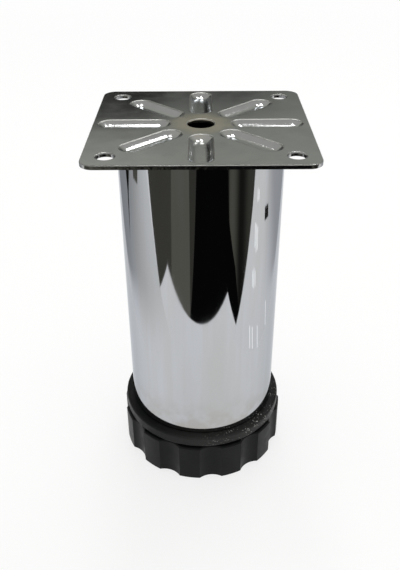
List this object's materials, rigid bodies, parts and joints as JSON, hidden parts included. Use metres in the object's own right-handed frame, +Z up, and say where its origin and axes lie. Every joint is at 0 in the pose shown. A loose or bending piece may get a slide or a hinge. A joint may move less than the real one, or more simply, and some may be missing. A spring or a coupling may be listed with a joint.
{
  "type": "adjustable cabinet leg",
  "caption": "Round bright-plated tube leg with a square ribbed screw plate on top and a fluted black levelling foot that screws in and out below.",
  "frame": {"origin": "on the floor under the middle of the leg, foot screwed fully in", "axes": "+Z up along the tube, +X and +Y along the sides of the square plate, the picture's camera on the -Y side"},
  "size_m": [0.064, 0.064, 0.12],
  "materials": {
    "bright_plating": "mirror-bright plated steel",
    "black_plastic": "satin moulded black plastic",
    "zinc_steel": "zinc-plated steel"
  },
  "bodies": {
    "leg": {"mounting_plate": "bright_plating", "leg_tube": "bright_plating", "tube_insert": "black_plastic", "insert_nut": "zinc_steel"},
    "stud": {"levelling_stud": "zinc_steel"},
    "foot": {"foot_knob": "black_plastic"}
  },
  "joints": [
    {"name": "foot_travel", "type": "slide", "parent": "leg", "child": "stud", "axis": [0, 0, -1], "range_m": [0, 0.015]},
    {"name": "foot_turn", "type": "hinge", "parent": "stud", "child": "foot", "pos_m": [0, 0, 0], "axis": [0, 0, -1], "range_deg": [0, 3600]}
  ],
  "couplings": [
    {"joint": "foot_travel", "follows": "foot_turn", "m_per_rad": 0.00023873}
  ]
}
